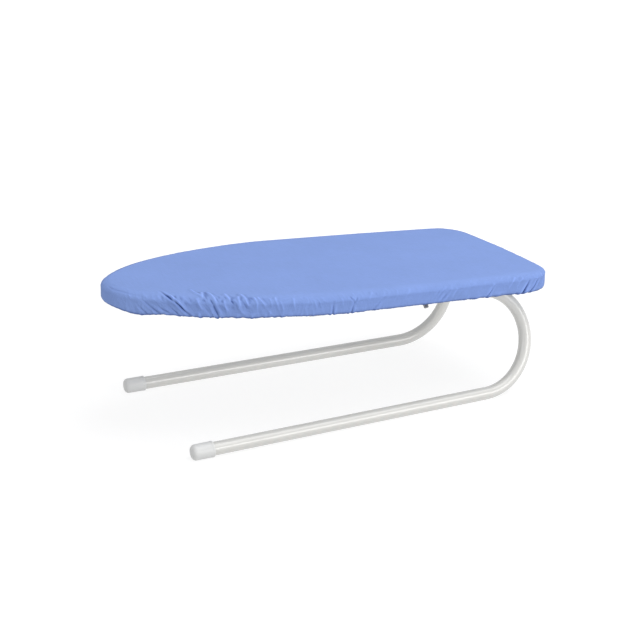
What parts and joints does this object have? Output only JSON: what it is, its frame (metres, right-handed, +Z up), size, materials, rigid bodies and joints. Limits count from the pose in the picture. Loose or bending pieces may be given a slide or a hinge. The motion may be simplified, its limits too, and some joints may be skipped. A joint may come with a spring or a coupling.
{
  "type": "tabletop ironing board",
  "caption": "Tabletop ironing board with a padded mesh deck under a gathered blue cover, standing on bent-tube legs that fold in under the deck.",
  "frame": {"origin": "on the table, under the middle of the board's box", "axes": "+X from the nose towards the wide end, +Y towards the left leg, +Z up from the table"},
  "size_m": [0.65, 0.303, 0.2205],
  "materials": {
    "cover_cotton": "plain woven cotton",
    "pad_felt": "felt",
    "elastic": "braided elastic",
    "deck_steel": "silver-grey paint",
    "zinc_steel": "bright zinc plate",
    "leg_enamel": "gloss off-white enamel",
    "cap_plastic": "satin white plastic"
  },
  "bodies": {
    "deck": {"cover": "cover_cotton", "hem_elastic": "elastic", "pad": "pad_felt", "mesh_top": "deck_steel", "rim_frame": "deck_steel", "nose_cross_member": "deck_steel", "front_cross_member": "deck_steel", "rear_cross_member": "deck_steel", "left_front_saddle": "zinc_steel", "left_front_outer_rivet": "zinc_steel", "left_front_inner_rivet": "zinc_steel", "left_rear_saddle": "zinc_steel", "left_rear_outer_rivet": "zinc_steel", "left_rear_inner_rivet": "zinc_steel", "right_front_saddle": "zinc_steel", "right_front_outer_rivet": "zinc_steel", "right_front_inner_rivet": "zinc_steel", "right_rear_saddle": "zinc_steel", "right_rear_outer_rivet": "zinc_steel", "right_rear_inner_rivet": "zinc_steel"},
    "left_leg": {"left_leg_tube": "leg_enamel", "left_foot_cap": "cap_plastic", "left_tube_plug": "cap_plastic", "left_stop_screw": "zinc_steel"},
    "right_leg": {"right_leg_tube": "leg_enamel", "right_foot_cap": "cap_plastic", "right_tube_plug": "cap_plastic", "right_stop_screw": "zinc_steel"}
  },
  "joints": [
    {"name": "left_leg_fold", "type": "hinge", "parent": "deck", "child": "left_leg", "pos_m": [-0.00127, 0.0954, 0.17052], "axis": [-0.9986, 0, 0.0526], "range_deg": [0, 100]},
    {"name": "right_leg_fold", "type": "hinge", "parent": "deck", "child": "right_leg", "pos_m": [-0.00127, -0.0954, 0.17052], "axis": [0.9986, 0, -0.0526], "range_deg": [0, 85]}
  ]
}
